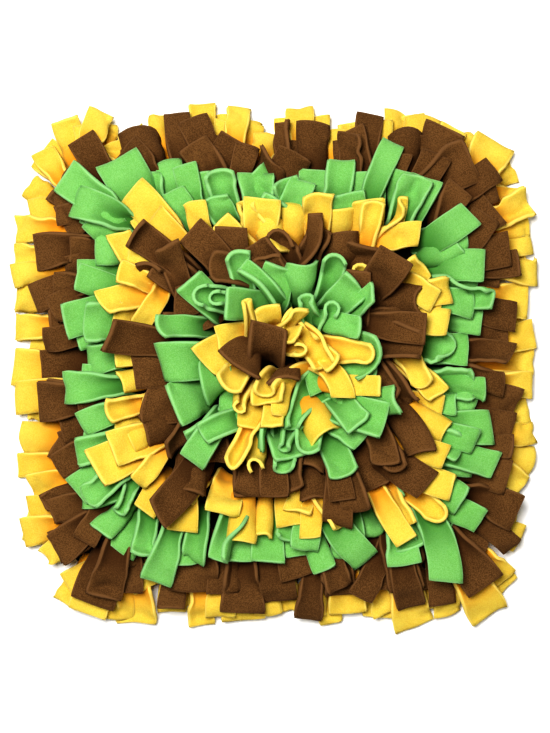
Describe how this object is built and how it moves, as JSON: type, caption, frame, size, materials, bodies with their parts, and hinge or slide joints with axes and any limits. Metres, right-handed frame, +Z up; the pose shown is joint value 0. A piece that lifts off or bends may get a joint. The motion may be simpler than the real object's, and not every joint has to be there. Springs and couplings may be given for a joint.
{
  "type": "snuffle mat",
  "caption": "Square snuffle mat: rows of yellow, brown and green fleece strips rise from a flat backing, standing at the centre and lying outward at the rim.",
  "frame": {"origin": "centre of the backing's underside, on the floor that the mat lies on", "axes": "+Z up, X and Y along the sides of the square mat"},
  "size_m": [0.4525, 0.4529, 0.0804],
  "materials": {
    "felt": "plain dark needle felt",
    "yellow_fleece": "soft brushed fleece, bright yellow",
    "brown_fleece": "soft brushed fleece, chocolate brown",
    "green_fleece": "soft brushed fleece, light green"
  },
  "bodies": {
    "root": {"backing": "felt", "row_1_yellow": "yellow_fleece", "row_2_brown": "brown_fleece", "row_3_green": "green_fleece", "row_4_yellow": "yellow_fleece", "row_5_brown": "brown_fleece", "row_6_green": "green_fleece", "row_7_yellow": "yellow_fleece", "row_8_brown": "brown_fleece"}
  },
  "joints": []
}
